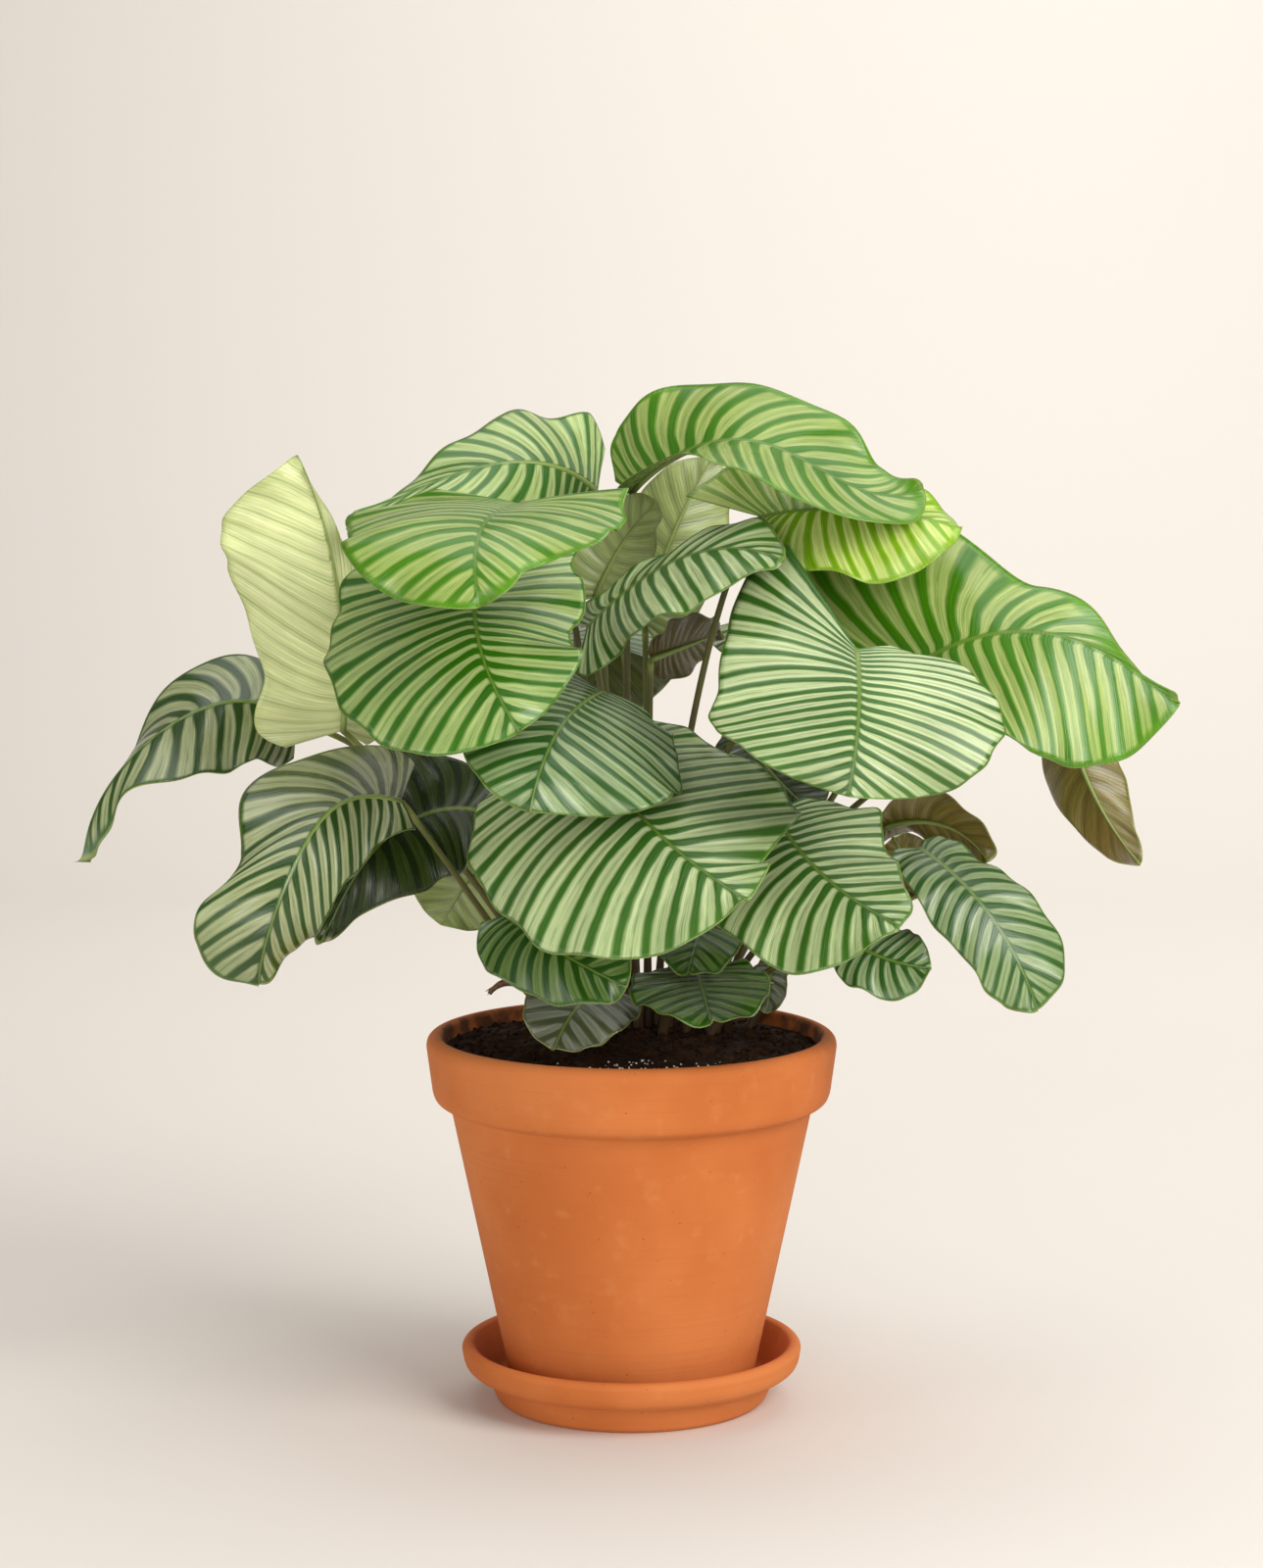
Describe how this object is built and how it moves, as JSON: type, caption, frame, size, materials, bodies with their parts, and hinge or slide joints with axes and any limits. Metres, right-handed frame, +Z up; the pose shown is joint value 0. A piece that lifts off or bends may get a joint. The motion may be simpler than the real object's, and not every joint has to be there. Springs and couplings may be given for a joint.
{
  "type": "potted calathea orbifolia",
  "caption": "Bushy houseplant with round, silver-striped leaves arching on thin stalks, standing in soil in a plain clay pot on a matching saucer.",
  "frame": {"origin": "centre of the saucer's flat base", "axes": "+Z up, and the pictured front of the plant looks along -Y"},
  "size_m": [0.7788, 0.4926, 0.742],
  "materials": {
    "terracotta": "matte unglazed clay",
    "potting_soil": "damp crumbly peat with white grains",
    "leaf": "waxy leaf, silver and green bands",
    "dry_stalk": "dry brown fibre"
  },
  "bodies": {
    "root": {"saucer": "terracotta", "pot": "terracotta", "soil": "potting_soil", "broken_stalk": "dry_stalk", "leaf_upright_left": "leaf", "leaf_far_left": "leaf", "leaf_low_left": "leaf", "leaf_front_left": "leaf", "leaf_top_left_front": "leaf", "leaf_top_left_back": "leaf", "leaf_top_right": "leaf", "leaf_top_right_under": "leaf", "leaf_centre_high": "leaf", "leaf_front_right": "leaf", "leaf_right": "leaf", "leaf_far_right": "leaf", "leaf_centre": "leaf", "leaf_front_centre": "leaf", "leaf_low_right_front": "leaf", "leaf_low_right": "leaf", "leaf_low_right_back": "leaf", "leaf_low_right_small": "leaf", "leaf_low_right_narrow": "leaf", "leaf_low_front_left": "leaf", "leaf_low_front": "leaf", "leaf_low_front_behind": "leaf", "leaf_on_soil": "leaf", "leaf_short_right": "leaf", "leaf_low_left_behind": "leaf", "leaf_low_left_under": "leaf", "leaf_back_left_high": "leaf", "leaf_upright_centre": "leaf", "leaf_upright_small": "leaf", "leaf_right_inner": "leaf", "leaf_centre_inner": "leaf", "leaf_low_right_inner": "leaf", "leaf_rear_left": "leaf", "leaf_rear_centre": "leaf", "leaf_rear_right": "leaf", "leaf_rear_low_left": "leaf", "leaf_rear_low_centre": "leaf", "leaf_rear_low_right": "leaf"}
  },
  "joints": []
}
